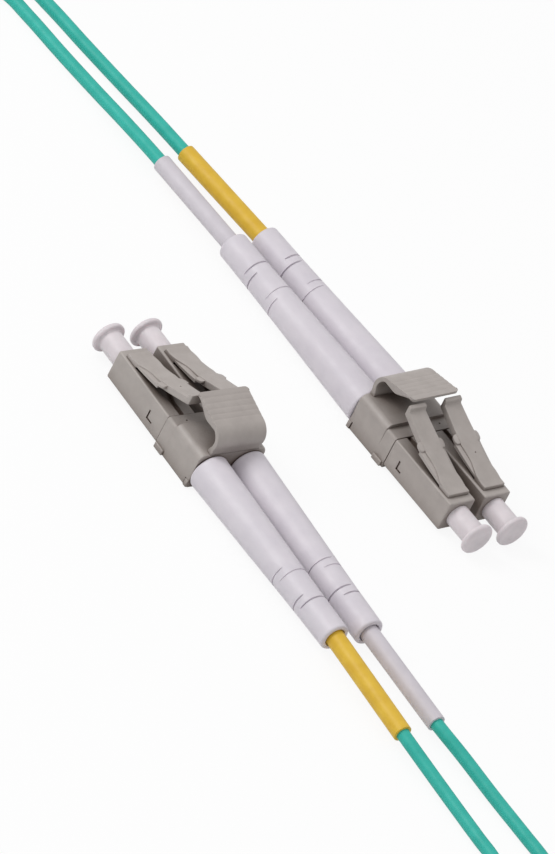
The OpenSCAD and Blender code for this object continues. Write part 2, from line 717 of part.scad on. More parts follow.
// Strap that holds the coil, at an angle about its centre
module coil_tie(angle) {
    near = sqrt((coil_r - coil_half_w) ^ 2 - (tie_w / 2) ^ 2) - 2 * run_gap;
    far = coil_r + coil_half_w + run_gap;
    inner_h = 2 * coil_h + run_gap;
    low = [near - tie_t, far + tie_t];
    h = inner_h + 2 * tie_t;
    color(tie_col) translate([coil_pos.x, coil_pos.y, 0]) rotate([0, 0, angle])
        translate([0, tie_w / 2, 0]) rotate([90, 0, 0]) linear_extrude(tie_w) difference() {
            polygon(rounded([[low[1], h, 0.9], [low[0], h, 0.9], [low[0], 0, 0.3], [low[1], 0, 0.3]], 4));
            translate([near, tie_t]) square([far - near, inner_h]);
        }
}

module core_piece(piece, plug, core) {
    if (piece == "boot") placed_boot(plug, core);
    else if (piece == "marker_sleeve") marker_sleeve(plug, core);
    else in_core(plug, core) {
        if (piece == "dust_cap") dust_cap();
        if (piece == "ferrule") ferrule();
        if (piece == "ferrule_flange") ferrule_flange();
        if (piece == "spring") spring();
        if (piece == "housing") housing();
        if (piece == "latch") latch();
        if (piece == "rear_body") rear_body();
        if (piece == "crimp_sleeve") crimp_sleeve();
    }
}

for (p = [0, 1], c = [0, 1], piece = PIECES)
    core_piece(piece, p, c);
for (p = [0, 1]) {
    in_plug(p) clip();
    in_plug(p) trigger();
}
for (p = [0, 1], c = [0, 1])
    cord_to_plug(p, c);
for (c = [0, 1])
    cord_coil(c);
for (t = [0:len(TIES) - 1])
    coil_tie(tie_angles[t]);
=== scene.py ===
"""Looks of a duplex fibre patch cord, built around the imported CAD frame.

Shapes are drawn in millimetres in the frame of a plug or of one of its halves, with X forward along the
ferrule, Y left, Z up and the origin on the front face of the nose, and are then placed in metres.
"""
import json
import math

import bmesh
import bpy
from mathutils import Matrix, Vector

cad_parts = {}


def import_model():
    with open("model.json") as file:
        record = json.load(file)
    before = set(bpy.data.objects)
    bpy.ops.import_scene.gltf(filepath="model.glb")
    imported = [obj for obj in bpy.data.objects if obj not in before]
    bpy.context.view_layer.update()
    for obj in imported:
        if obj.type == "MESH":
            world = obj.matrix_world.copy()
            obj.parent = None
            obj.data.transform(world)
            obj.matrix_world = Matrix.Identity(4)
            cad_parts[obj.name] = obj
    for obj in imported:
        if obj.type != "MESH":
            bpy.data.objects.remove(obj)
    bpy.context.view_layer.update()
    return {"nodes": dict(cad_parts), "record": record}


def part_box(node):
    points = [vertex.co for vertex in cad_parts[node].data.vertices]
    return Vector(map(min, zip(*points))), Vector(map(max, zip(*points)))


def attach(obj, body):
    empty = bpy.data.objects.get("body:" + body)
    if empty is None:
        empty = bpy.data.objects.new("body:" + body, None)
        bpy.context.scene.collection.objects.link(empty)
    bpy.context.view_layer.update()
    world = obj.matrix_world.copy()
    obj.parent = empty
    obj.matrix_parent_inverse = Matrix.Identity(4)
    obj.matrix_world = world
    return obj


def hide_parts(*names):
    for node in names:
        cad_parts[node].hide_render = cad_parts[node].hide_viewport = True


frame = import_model()

MM = 0.001
PLUGS = ("a", "b")
CORES = ("yellow", "white")
SIDE = {"yellow": 1, "white": -1}
ROOT = "connectors_and_cords"
MOUNTS = {m["name"]: m for m in frame["record"]["mounts"]}
UP = Vector((0, 0, 1))

# Gap between pieces that are put together or run past each other
RUN_GAP = 0.05

# Housing: the square nose, the neck behind it, and its bores. Lengths are behind the front face.
NOSE_W = 4.5
HOUSING_EDGE_R = 0.28
HOUSING_LEN = 12.3
NECK_BACK = 15.3
NECK_W = 4.0
NOSE_BORE_R = 1.25
STOP_DEPTH = 4.0
CAVITY_R = 1.55
SPRING_BACK = 9.4
REAR_BORE_R = 1.77

# Gap around the snap tab in each side wall, of which an upright and its foot are seen
WINDOW_BACK = 10.3
WINDOW_LEN = 1.3
GAP_W = 0.28
GAP_DEPTH = 0.25
GAP_LOW = -0.9
GAP_HIGH = 0.4
LONG_FOOT = WINDOW_LEN - GAP_W
SHORT_FOOT = GAP_W * 4.5

# Latch: its hinge, whose bead sets the top of its root, and the arm that curves up behind it, with two
# ears, a web along each edge and a raised lip. Distances along it are behind the hinge. The inner edge of
# the facet in front of an ear is a list of (distance, Y).
LATCH_LEN = 11.5
LATCH_HINGE = (-2.1, 2.3)
LATCH_RISE = 3.7
LATCH_BOW = 0.0085
LATCH_SLOPE = (LATCH_RISE - LATCH_BOW * LATCH_LEN ** 2) / LATCH_LEN
BEAD_R = 0.5
ROOT_FRONT = 0.95
ROOT_HALF_W = 1.8
ROOT_TO = 0.8
SKIRT_LOW = 2.03
SKIRT_TO = 1.1
WAIST_HALF_W = 1.4
WAIST_AT = 3.4
ARM_HALF_W = 1.56
ARM_TAPER = 0.03
ROOT_T = 0.48
T_GAIN = 0.092
ARM_T = 1.05
ARM_STATIONS = (-0.4, 0, 0.4, 0.8, SKIRT_TO, SKIRT_TO + 0.25, 1.8, 2.2, 2.6, 3, 3.4, 3.8, 4.2, 4.6, 5, 5.4,
                5.8, 6.5, 7.2, 8, 9, 10)
LIP_TOP = 7.05
LIP_LEN = 0.6
EAR_HALF_W = 2.22
EAR_FROM = 5.85
EAR_TO = 7.15
EAR_T = 0.62
WEB_FROM = 0.7
WEB_TO = EAR_FROM + 0.3
WEB_ROOT_HALF_W = 1.77
WEB_EAR_HALF_W = 2.12
FACET_INNER = ((4.5, 1.56), (5.65, 0.9), (6.1, 1.7))
GATE_AT = {"a": 4.2, "b": 7.8}
GATE_R = 0.13

# Slot in the housing's upper face under the latch: half its width along X, behind the root's skirt
SLOT_DEPTH = 0.45
SLOT_FIT = 0.04
SLOT_ROOT_X = -2.9
SLOT_HALF_W = ((-3.4, 1.83), (-3.9, 1.72), (-5, 1.52), (-6.1, 1.34), (-7.3, 1.14), (-8.4, 0.86), (-9.2, 0.6),
               (-10, 0.42), (-HOUSING_LEN - 0.5, 0.38))

# Clip that holds both halves of a plug: collar, main body, bores and sockets, the catch and the stop low
# on each side wall, and a dimple in the collar
PITCH = 6.25
CLIP_BACK = 20.3
COLLAR_BACK = 14.3
COLLAR_TOP = NOSE_W / 2 + 0.1
CLIP_BOTTOM = -2.8
CLIP_TOP = 2.9
CLIP_HALF_W = 5.6
COLLAR_HALF_W = 5.455
CLIP_BORE_FROM = 16.1
CLIP_BORE_R = 2.2
SOCKET_FROM_X = -11
CATCH_X = (-14.35, -12.55)
CATCH_H = 0.85
STOP_X = (-CLIP_BACK + 0.03, -CLIP_BACK + 0.75)
STOP_H = 1.1
STOP_SLOT_X = (-19.65, -19.49)
STOP_SLOT_TOP = CLIP_BOTTOM + 1.3
DIMPLE_X = -13.4
DIMPLE_R = 0.17

# Trigger: the bead in the clip's groove, the curl around TRIGGER_MID, and the grooved top with its front
# edge over the latches. Angles of the curl are in degrees, up from straight ahead.
TRIGGER_HINGE = (-19.9, 3.0)
TRIGGER_MID = (-18.3, 4.5)
TRIGGER_R = 2.2
TRIGGER_T = 0.62
TRIGGER_BEAD_R = 0.42
TRIGGER_FRONT_X = -13.7
TRIGGER_EDGE_Z = 7.3
TRIGGER_EDGE_T = 0.42
TRIGGER_W = 8.1
GROOVES = 5
GROOVE_PITCH = 0.85
GROOVE_DEPTH = 0.05
CURL_FROM = 200
CURL_CREST = 100
CURL_INSIDE = 112

# Boot: the neck in the clip, the taper, the bore and its mouth. Its slits come in pairs, and the rear pair
# is deeper than the front one.
BOOT_BACK = 51.25
BOOT_FRONT_R = 2.75
BOOT_REAR_R = 2.1
BOOT_NECK_R = 2.15
BOOT_NECK_LEN = 3.9
BOOT_BORE_R = 1.6
BOOT_BORE_TO = 1.6
BOOT_MOUTH_R = 1.36
SLIT_FROM_END = 5.5
SLIT_W = 0.36
SLIT_PAIR = 4.9
SLIT_GAP = 1.2
SLIT_DEPTHS = (0.26, 0.14)
# Middle and reach of each slit about the boot, in degrees: the rear slit of a pair, then the front one.
OUTER_SLITS = (((97.6, 81), (277.6, 63)), ((187.6, 54), (7.6, 54)))
INNER_SLITS = (((77.6, 54), (257.6, 54)), ((156.4, 81), (336.4, 63)))
SLITS = {("a", "white"): OUTER_SLITS, ("a", "yellow"): INNER_SLITS,
         ("b", "yellow"): OUTER_SLITS, ("b", "white"): INNER_SLITS}

# Dust cap and ferrule
CAP_LEN = 4.9
CAP_R = 1.65
CAP_RIM_R = 2.35
CAP_RIM_T = 0.74
CAP_DISH_R = (CAP_RIM_R * 0.62, CAP_RIM_R * 0.5)
CAP_BORE_R = 0.645
CAP_BORE_LEN = 2.8
FERRULE_R = 0.625
FERRULE_TIP_R = 0.455
FERRULE_OUT = 2
FERRULE_SEAT = 4.5

# Marker sleeves and cords
CRIMP_BACK = 21.4
CRIMP_HOLD = 1.2
SLEEVE_LEN = 17.0
WHITE_SLEEVE_SHORT = 0.8
SLEEVE_R = {"yellow": 1.28, "white": 1.25}
SLEEVE_DROP = 0.5
CORD_D = 1.8

# Half the spacing of the two cords where they leave the boots and the marker sleeves
BOOT_END_Y = {("a", "yellow"): 2.62, ("b", "yellow"): 2.64, ("a", "white"): 2.9, ("b", "white"): 3.04}
SLEEVE_END_Y = {("a", "yellow"): 2.24, ("b", "yellow"): 2.65, ("a", "white"): 2.6, ("b", "white"): 3.5}


# ---- Frames of the plugs ----

def frame_at(origin, forward):
    """Millimetre frame at a point in metres, with X along forward and Z up."""
    turn = Matrix((forward, UP.cross(forward), UP)).transposed().to_4x4()
    return Matrix.Translation(origin) @ turn @ Matrix.Scale(MM, 4)


def half_frame(plug, core):
    """Frame of one half of a plug, on the front face of its nose."""
    nose = MOUNTS[f"plug_{plug}_{core}_nose"]
    return frame_at(Vector(nose["pos_m"]), Vector(nose["axis"]))


def plug_frame(plug):
    """Frame of a whole plug, midway between its two noses."""
    yellow, white = (MOUNTS[f"plug_{plug}_{core}_nose"] for core in CORES)
    middle = (Vector(yellow["pos_m"]) + Vector(white["pos_m"])) / 2
    return frame_at(middle, Vector(yellow["axis"]))


def axis_points(plug, core):
    """Points of a core's axis in its half's frame: in the crimp, at the clip, at the boot's mouth and
    at the end of the marker sleeve."""
    sleeve_len = SLEEVE_LEN - (WHITE_SLEEVE_SHORT if core == "white" else 0)
    boot_y = SIDE[core] * (BOOT_END_Y[plug, core] - PITCH / 2)
    sleeve_y = SIDE[core] * (SLEEVE_END_Y[plug, core] - PITCH / 2)
    points = [(-CRIMP_BACK + CRIMP_HOLD, 0, 0), (-CLIP_BACK, 0, 0), (-BOOT_BACK, boot_y, 0),
              (-BOOT_BACK - sleeve_len, sleeve_y, -SLEEVE_DROP)]
    return [Vector(p) for p in points]


# ---- Mesh helpers ----

# Angles of a quarter turn in radians, for rounded edges
QUARTER = (0, 0.3, 0.6, 0.9, 1.2, math.pi / 2)
SHORT_QUARTER = (0, 0.4, 0.8, 1.2, math.pi / 2)


def eased(t):
    """Smooth step from 0 to 1."""
    t = min(1.0, max(0.0, t))
    return (1 - math.cos(math.pi * t)) / 2


def draft(name, verts, faces):
    """Object in the scene from plain lists of points and faces."""
    mesh = bpy.data.meshes.new(name)
    mesh.from_pydata([tuple(v) for v in verts], [], faces)
    shape = bmesh.new()
    shape.from_mesh(mesh)
    bmesh.ops.recalc_face_normals(shape, faces=shape.faces)
    shape.to_mesh(mesh)
    shape.free()
    obj = bpy.data.objects.new(name, mesh)
    bpy.context.scene.collection.objects.link(obj)
    return obj


def loft(name, rings, closed=False):
    """Skin over rings of equally many points. Open ends get a flat face each."""
    n = len(rings[0])
    last = len(rings) - 1
    faces = []
    for i in range(last + 1 if closed else last):
        j = (i + 1) % len(rings)
        for k in range(n):
            m = (k + 1) % n
            faces.append((i * n + k, i * n + m, j * n + m, j * n + k))
    if not closed:
        faces.append(tuple(reversed(range(n))))
        faces.append(tuple(last * n + k for k in range(n)))
    return draft(name, [p for ring in rings for p in ring], faces)


def lathe(name, profile, sides=64, closed=False):
    """Profile of (distance back, radius) turned about the X axis. A closed profile makes a ring."""
    rings = []
    for back, radius in profile:
        angles = [2 * math.pi * k / sides for k in range(sides)]
        rings.append([(-back, radius * math.sin(a), radius * math.cos(a)) for a in angles])
    return loft(name, rings, closed)


def block(name, low, high):
    """Box between two corners."""
    x0, y0, z0 = low
    x1, y1, z1 = high
    return loft(name, [[(x, y0, z0), (x, y1, z0), (x, y1, z1), (x, y0, z1)] for x in (x1, x0)])


def rod_across(name, x, z, radius, half_w, sides=32):
    """Round rod along Y."""
    angles = [2 * math.pi * k / sides for k in range(sides)]
    ring = [(x + radius * math.cos(a), z + radius * math.sin(a)) for a in angles]
    return loft(name, [[(p[0], y, p[1]) for p in ring] for y in (half_w, -half_w)])


def rounded(corners, steps=5):
    """Closed outline with its corners (u, v, radius) rounded by arcs."""
    points = []
    n = len(corners)
    for i, (u, v, r) in enumerate(corners):
        p = Vector((u, v))
        a = (Vector(corners[i - 1][:2]) - p).normalized()
        b = (Vector(corners[(i + 1) % n][:2]) - p).normalized()
        half = a.angle(b) / 2
        mid = p + (a + b).normalized() * r / math.sin(half)
        start = p + a * r / math.tan(half) - mid
        end = p + b * r / math.tan(half) - mid
        points += [mid + r * start.slerp(end, k / steps) for k in range(steps + 1)]
    return points


def apply_modifiers(obj):
    """Puts a mesh in place of the modifiers that made it."""
    bpy.context.view_layer.update()
    graph = bpy.context.evaluated_depsgraph_get()
    mesh = bpy.data.meshes.new_from_object(obj.evaluated_get(graph))
    obj.modifiers.clear()
    old = obj.data
    obj.data = mesh
    bpy.data.meshes.remove(old)
    return obj


def combined(obj, operation, *others):
    """Exact boolean of a drafted object with others, which are used up."""
    for other in others:
        step = obj.modifiers.new(operation, "BOOLEAN")
        step.operation = operation
        step.solver = "EXACT"
        step.object = other
    apply_modifiers(obj)
    for other in others:
        bpy.data.meshes.remove(other.data)
    return obj


def softened(obj, width, segments=3, angle=35):
    """Bevels the edges of a drafted object that are sharper than an angle."""
    step = obj.modifiers.new("edges", "BEVEL")
    step.width = width
    step.segments = segments
    step.limit_method = "ANGLE"
    step.angle_limit = math.radians(angle)
    return apply_modifiers(obj)


def placed(obj, name, place, look, body, *nodes, sharp=38):
    """Final piece: in metres, smooth, with its material, on its body and in place of its CAD nodes."""
    mesh = obj.data
    obj.name = mesh.name = name
    mesh.transform(place)
    mesh.polygons.foreach_set("use_smooth", [True] * len(mesh.polygons))
    mesh.set_sharp_from_angle(angle=math.radians(sharp))
    mesh.materials.clear()
    mesh.materials.append(look)
    normals = obj.modifiers.new("normals", "WEIGHTED_NORMAL")
    normals.keep_sharp = True
    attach(obj, body)
    if nodes:
        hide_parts(*nodes)
    return obj


# ---- Materials ----

def linear(r, g, b):
    """Colour as Blender works with it, from sRGB values of 0 to 255."""
    values = [c / 255 for c in (r, g, b)]
    return tuple(c / 12.92 if c <= 0.04045 else ((c + 0.055) / 1.055) ** 2.4 for c in values) + (1.0,)


def plain_material(slot, metallic=0.0, ior=1.5):
    """Material with its slot's name, its node tree and its shader."""
    mat = bpy.data.materials.new(f"{slot}_look")
    mat.use_nodes = True
    mat["slot"] = slot
    shader = mat.node_tree.nodes["Principled BSDF"]
    shader.inputs["Metallic"].default_value = metallic
    shader.inputs["IOR"].default_value = ior
    shader.inputs["Specular IOR Level"].default_value = 0.5
    return mat, mat.node_tree, shader


def coordinates(tree):
    """Object coordinates in millimetres."""
    source = tree.nodes.new("ShaderNodeTexCoord")
    scale = tree.nodes.new("ShaderNodeVectorMath")
    scale.operation = "MULTIPLY"
    scale.inputs[1].default_value = [1 / MM] * 3
    tree.links.new(source.outputs["Object"], scale.inputs[0])
    return scale.outputs["Vector"]


def noise(tree, where, per_mm, detail=3.0):
    """Soft noise with so many patches to a millimetre."""
    node = tree.nodes.new("ShaderNodeTexNoise")
    node.inputs["Scale"].default_value = per_mm
    node.inputs["Detail"].default_value = detail
    node.inputs["Roughness"].default_value = 0.55
    tree.links.new(where, node.inputs["Vector"])
    return node.outputs["Fac"]


def ramp(tree, fac, *stops):
    """Colour ramp over a factor between two stops of (position, colour)."""
    node = tree.nodes.new("ShaderNodeValToRGB")
    for element, (position, colour) in zip(node.color_ramp.elements, stops):
        element.position = position
        element.color = colour
    tree.links.new(fac, node.inputs["Fac"])
    return node.outputs["Color"]


def spread(tree, fac, low, high):
    """Maps the middle of a noise to a range of values."""
    node = tree.nodes.new("ShaderNodeMapRange")
    node.inputs["From Min"].default_value = 0.3
    node.inputs["From Max"].default_value = 0.7
    node.inputs["To Min"].default_value = low
    node.inputs["To Max"].default_value = high
    tree.links.new(fac, node.inputs["Value"])
    return node.outputs["Result"]


def bumps(tree, shader, *layers):
    """Bump nodes in a chain: each layer is (height, depth in millimetres)."""
    normal = None
    for height, depth in layers:
        node = tree.nodes.new("ShaderNodeBump")
        node.inputs["Strength"].default_value = 1.0
        node.inputs["Distance"].default_value = depth * MM
        tree.links.new(height, node.inputs["Height"])
        if normal:
            tree.links.new(normal, node.inputs["Normal"])
        normal = node.outputs["Normal"]
    tree.links.new(normal, shader.inputs["Normal"])


def varied(tree, shader, where, colours, colour_per_mm, roughness, rough_per_mm):
    """Colour and roughness that drift a little over the surface."""
    tone = ramp(tree, noise(tree, where, colour_per_mm), (0.3, colours[0]), (0.7, colours[1]))
    tree.links.new(tone, shader.inputs["Base Color"])
    gloss = spread(tree, noise(tree, where, rough_per_mm), *roughness)
    tree.links.new(gloss, shader.inputs["Roughness"])


def translucent(shader, weight, radius, scale_mm):
    """Light that goes a little way into the plastic."""
    shader.inputs["Subsurface Weight"].default_value = weight
    shader.inputs["Subsurface Radius"].default_value = radius
    shader.inputs["Subsurface Scale"].default_value = scale_mm * MM


def painted_crevice_shade(tree, shader, colour, reach, low, high):
    """Painted shade: darkens the base colour towards a shade colour where little of the sky within reach, in
    millimetres, is open, in place of the shade that falls in crevices and under overhanging parts.
    """
    tone = shader.inputs["Base Color"].links[0].from_socket
    open_sky = tree.nodes.new("ShaderNodeAmbientOcclusion")
    open_sky.samples = 8
    open_sky.inputs["Distance"].default_value = reach * MM
    share = tree.nodes.new("ShaderNodeMapRange")
    share.inputs["From Min"].default_value = low
    share.inputs["From Max"].default_value = high
    tree.links.new(open_sky.outputs["AO"], share.inputs["Value"])
    mix = tree.nodes.new("ShaderNodeMix")
    mix.data_type = "RGBA"
    mix.inputs["A"].default_value = colour
    tree.links.new(share.outputs["Result"], mix.inputs["Factor"])
    tree.links.new(tone, mix.inputs["B"])
    tree.links.new(mix.outputs["Result"], shader.inputs["Base Color"])


def housing_look():
    mat, tree, shader = plain_material("housing_plastic")
    where = coordinates(tree)
    varied(tree, shader, where, (linear(164, 156, 151), linear(173, 165, 160)), colour_per_mm=0.5,
           roughness=(0.42, 0.55), rough_per_mm=1.4)
    # Painted shade: the base colour darkens to this warm brown in crevices and under overhanging parts such
    # as the trigger and the latches, where little sky is open
    painted_crevice_shade(tree, shader, linear(84, 68, 58), reach=4.5, low=0.2, high=0.82)
    bumps(tree, shader, (noise(tree, where, 14, detail=2), 0.004), (noise(tree, where, 2.2), 0.008))
    return mat


def boot_look():
    mat, tree, shader = plain_material("boot_rubber")
    where = coordinates(tree)
    varied(tree, shader, where, (linear(209, 203, 210), linear(217, 211, 217)), colour_per_mm=0.35,
           roughness=(0.42, 0.56), rough_per_mm=1.1)
    translucent(shader, weight=0.12, radius=(1.0, 0.9, 0.95), scale_mm=0.6)
    bumps(tree, shader, (noise(tree, where, 11, detail=2), 0.004), (noise(tree, where, 1.6), 0.012))
    return mat


def cap_look():
    mat, tree, shader = plain_material("cap_plastic", ior=1.46)
    where = coordinates(tree)
    varied(tree, shader, where, (linear(212, 204, 207), linear(222, 214, 217)), colour_per_mm=0.6,
           roughness=(0.44, 0.54), rough_per_mm=1.5)
    translucent(shader, weight=0.35, radius=(1.0, 0.86, 0.88), scale_mm=0.9)
    bumps(tree, shader, (noise(tree, where, 1.8), 0.01))
    return mat


def jacket_look():
    mat, tree, shader = plain_material("cord_jacket")
    where = coordinates(tree)
    varied(tree, shader, where, (linear(30, 170, 155), linear(44, 181, 166)), colour_per_mm=0.5,
           roughness=(0.5, 0.6), rough_per_mm=1.2)
    bumps(tree, shader, (noise(tree, where, 7, detail=2), 0.003), (noise(tree, where, 1.1), 0.016))
    return mat


def sleeve_look(slot, dark, light):
    mat, tree, shader = plain_material(slot)
    where = coordinates(tree)
    varied(tree, shader, where, (dark, light), colour_per_mm=0.45, roughness=(0.46, 0.58), rough_per_mm=1.3)
    bumps(tree, shader, (noise(tree, where, 8, detail=2), 0.004), (noise(tree, where, 0.9), 0.025))
    return mat


def ceramic_look():
    mat, tree, shader = plain_material("ceramic", ior=2.1)
    where = coordinates(tree)
    varied(tree, shader, where, (linear(240, 239, 234), linear(246, 245, 240)), colour_per_mm=0.8,
           roughness=(0.08, 0.14), rough_per_mm=2.0)
    return mat


def steel_look():
    mat, tree, shader = plain_material("steel", metallic=1.0)
    where = coordinates(tree)
    varied(tree, shader, where, (linear(196, 196, 200), linear(212, 212, 214)), colour_per_mm=1.5,
           roughness=(0.24, 0.36), rough_per_mm=6.0)
    bumps(tree, shader, (noise(tree, where, 20, detail=2), 0.002))
    return mat


def tie_look():
    mat, tree, shader = plain_material("tie_plastic")
    where = coordinates(tree)
    varied(tree, shader, where, (linear(34, 34, 37), linear(46, 46, 50)), colour_per_mm=0.8,
           roughness=(0.5, 0.7), rough_per_mm=2.0)
    weave = tree.nodes.new("ShaderNodeTexVoronoi")
    weave.inputs["Scale"].default_value = 3.5
    tree.links.new(where, weave.inputs["Vector"])
    bumps(tree, shader, (weave.outputs["Distance"], 0.05))
    return mat


HOUSING = housing_look()
BOOT = boot_look()
CAP = cap_look()
JACKET = jacket_look()
SLEEVE = {"yellow": sleeve_look("yellow_sleeve", linear(214, 171, 40), linear(226, 186, 56)),
          "white": sleeve_look("white_sleeve", linear(200, 194, 200), linear(208, 202, 208))}
CERAMIC = ceramic_look()
STEEL = steel_look()
TIE = tie_look()


# ---- Cords ----

TO_COIL = {
    "yellow": [(-47, 36, 1.7), (-53, 40.2, 1.2), (-59.5, 44.5, 0.9), (-66, 48.5, 0.9), (-70.4, 50.8, 0.9),
               (-75.4, 51.8, 0.9), (-80.2, 50.6, 0.9), (-84.4, 47.4, 0.9), (-86.8, 42.6, 0.9),
               (-87.2, 36, 0.9), (-86.6, 26, 0.9), (-85.4, 13, 0.9), (-84, 0, 0.9), (-82.8, -16, 0.9),
               (-81.6, -32, 0.9), (-80.6, -46, 0.9), (-80, -57, 1.4), (-79.4, -67, 3.2), (-78.4, -76, 5)],
    "white": [(-49.5, 31.9, 1.7), (-55.3, 36, 1.2), (-61.8, 40.4, 0.9), (-68, 44.4, 0.9),
              (-71.6, 46.4, 0.9), (-75.6, 47.1, 0.9), (-79.2, 45.9, 0.9), (-82, 43.1, 0.9),
              (-83.4, 38.8, 0.9), (-83.4, 33, 0.9), (-82.8, 24, 0.9), (-81.8, 12, 0.9), (-80.5, 0, 0.9),
              (-79.2, -16, 0.9), (-78.2, -32, 0.9), (-77.6, -48, 0.9), (-77.4, -62, 0.9),
              (-77.4, -74, 1.1)],
}
FROM_COIL = {
    "yellow": [(-67.5, -101, 6.2), (-62, -105.4, 4.4), (-56, -109.5, 2.4), (-49.5, -113.4, 1.2),
               (-42, -117.4, 0.9), (-34, -120.8, 0.9), (-25.5, -123.4, 0.9), (-17, -124.2, 0.9),
               (-8.5, -122, 0.9), (0, -116.8, 0.9), (11, -108, 0.9), (21.5, -98.6, 0.9),
               (30.6, -90.1, 0.9), (36.7, -82.8, 0.9), (38.3, -79.7, 0.9), (38.5, -76.5, 0.9),
               (37.5, -73.4, 0.9), (35.4, -71, 0.9), (33, -69.1, 0.9), (27.8, -65.1, 1.1),
               (22.4, -61.4, 1.7)],
    "white": [(-67.6, -101.6, 2.7), (-61.5, -107.4, 1.4), (-54, -113.3, 0.9), (-45, -118.6, 0.9),
              (-35.5, -123, 0.9), (-26, -126.2, 0.9), (-16.5, -127.4, 0.9), (-7.4, -125.2, 0.9),
              (1.5, -119.8, 0.9), (12.8, -110.6, 0.9), (24, -101, 0.9), (35, -91.3, 0.9), (41.6, -85, 0.9),
              (45.2, -80, 0.9), (46, -74.6, 0.9), (44.6, -69.8, 0.9), (41.6, -66.6, 0.9),
              (37.9, -63.8, 0.9), (32.1, -59.8, 1.1), (26.3, -56.1, 1.7)],
}

COIL_MID = (-64.0, -86.0)
COIL_OUTER_R = 13.5
COIL_COLUMNS = 4
COIL_FLOOR = {"white": 0.4, "yellow": 4.0}
COIL_IN = 180
COIL_OUT = 225
STEP_FROM = 90
STEP_ANGLE = 66
STEPS = 2 * COIL_COLUMNS - 1
RISE_PINCH = 0.5

TIE_T = 0.4
TIE_W = 5.0
TIE_INNER_R = 6.55
TIE_OUTER_R = 14.45
TIE_TOP_R = 0.9
TIE_FOOT_R = 0.5


def coil_turns(core, step=15):
    """The cord winds in towards the middle, climbs a layer and winds out again. Each turn moves over by
    one diameter in the same sector, so the turns lie beside each other all the way round."""
    points = []
    angle = COIL_IN
    end = 360 * STEPS + COIL_OUT
    while angle < end + 1:
        turned = angle - STEP_FROM - 360
        whole = math.floor(turned / 360)
        progress = max(0, whole + eased((turned - 360 * whole) / STEP_ANGLE)) if turned > 0 else 0
        inward = min(progress, COIL_COLUMNS - 1)
        climb = min(1, max(0, progress - (COIL_COLUMNS - 1)))
        outward = max(0, progress - COIL_COLUMNS)
        radius = COIL_OUTER_R - CORD_D * (inward - outward) - RISE_PINCH * math.sin(math.pi * climb)
        around = math.radians(angle)
        points.append((COIL_MID[0] + radius * math.cos(around), COIL_MID[1] + radius * math.sin(around),
                       COIL_FLOOR[core] + CORD_D * (0.5 + climb)))
        angle += step
    return points


def core_path(plug, core, spacing=7.0):
    """Points in metres from the crimp to the end of the marker sleeve, close enough to stay straight."""
    ends = axis_points(plug, core)
    points = [ends[0]]
    for start, end in zip(ends, ends[1:]):
        pieces = max(1, round((end - start).length / spacing))
        points += [start.lerp(end, (k + 1) / pieces) for k in range(pieces)]
    place = half_frame(plug, core)
    return [place @ p for p in points]


def cord(core):
    """One core's cord from crimp to crimp, with the point where it starts and its length in metres."""
    free = [Vector(p) * MM for p in TO_COIL[core] + coil_turns(core) + FROM_COIL[core]]
    path = core_path("a", core) + free + core_path("b", core)[::-1]
    curve = bpy.data.curves.new(f"{core}_cord", "CURVE")
    curve.dimensions = "3D"
    curve.bevel_depth = CORD_D / 2 * MM
    curve.bevel_resolution = 6
    curve.resolution_u = 8
    curve.use_fill_caps = True
    spline = curve.splines.new("BEZIER")
    spline.bezier_points.add(len(path) - 1)
    for point, co in zip(spline.bezier_points, path):
        point.co = co
        point.handle_left_type = point.handle_right_type = "AUTO"
    obj = bpy.data.objects.new(f"{core}_cord", curve)
    bpy.context.scene.collection.objects.link(obj)
    curve.materials.append(JACKET)
    bpy.context.view_layer.update()
    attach(obj, ROOT)
    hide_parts(f"{core}_cord_to_plug_a", f"{core}_cord_to_plug_b", f"{core}_cord_coil")
    return obj, path[0], spline.calc_length()


def marker_sleeve(plug, core):
    """Thin tube over the cord, with a soft end, from inside the boot's mouth."""
    start, end = axis_points(plug, core)[2:]
    inside = 0.8
    length = (end - start).length
    inner_r = CORD_D / 2 + 0.02
    edge = 0.08
    radius = SLEEVE_R[core]
    profile = [(-inside, radius)]
    profile += [(length - edge + edge * math.sin(a), radius - edge + edge * math.cos(a))
                for a in (0, 0.5, 1.0, math.pi / 2)]
    profile += [(length, inner_r), (-inside, inner_r)]
    tube = lathe("tube", profile, sides=40, closed=True)
    back = (end - start).normalized()
    left = UP.cross(-back).normalized()
    lay = Matrix((-back, left, (-back).cross(left))).transposed().to_4x4()
    place = half_frame(plug, core) @ Matrix.Translation(start) @ lay
    return placed(tube, f"{core}_sleeve_{plug}", place, SLEEVE[core], ROOT,
                  f"plug_{plug}_{core}_marker_sleeve")


def coil_tie(index):
    """Strap round the coil, with a rounded cross-section, in place of its CAD node."""
    node = f"coil_tie_{index}"
    low, high = (Vector(c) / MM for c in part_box(node))
    middle = (low + high) / 2
    outward = Vector((middle.x - COIL_MID[0], middle.y - COIL_MID[1], 0)).normalized()
    half_t = TIE_T / 2
    outer = TIE_OUTER_R + half_t
    inner = TIE_INNER_R - half_t
    top = high.z - half_t
    outline = rounded([(outer, top, TIE_TOP_R), (inner, top, TIE_TOP_R), (inner, half_t, TIE_FOOT_R),
                       (outer, half_t, TIE_FOOT_R)], steps=6)
    half_w = TIE_W / 2
    edge_r = 0.15
    section = rounded([(half_w, half_t, edge_r), (-half_w, half_t, edge_r), (-half_w, -half_t, edge_r),
                       (half_w, -half_t, edge_r)], steps=2)
    n = len(outline)
    rings = []
    for i, p in enumerate(outline):
        along = (outline[(i + 1) % n] - outline[i - 1]).normalized()
        out = Vector((along.y, -along.x))
        rings.append([(p.x + out.x * v, u, p.y + out.y * v) for u, v in section])
    strap = loft("strap", rings, closed=True)
    place = frame_at(Vector((*COIL_MID, 0)) * MM, outward)
    return placed(strap, f"coil_tie_strap_{index}", place, TIE, ROOT, node)


SLEEVES = {(p, c): marker_sleeve(p, c) for p in PLUGS for c in CORES}
TIES = [coil_tie(1), coil_tie(2)]
for core_name in CORES:
    leg, leg_exit, leg_length = cord(core_name)


# ---- Pieces of each half of a plug ----

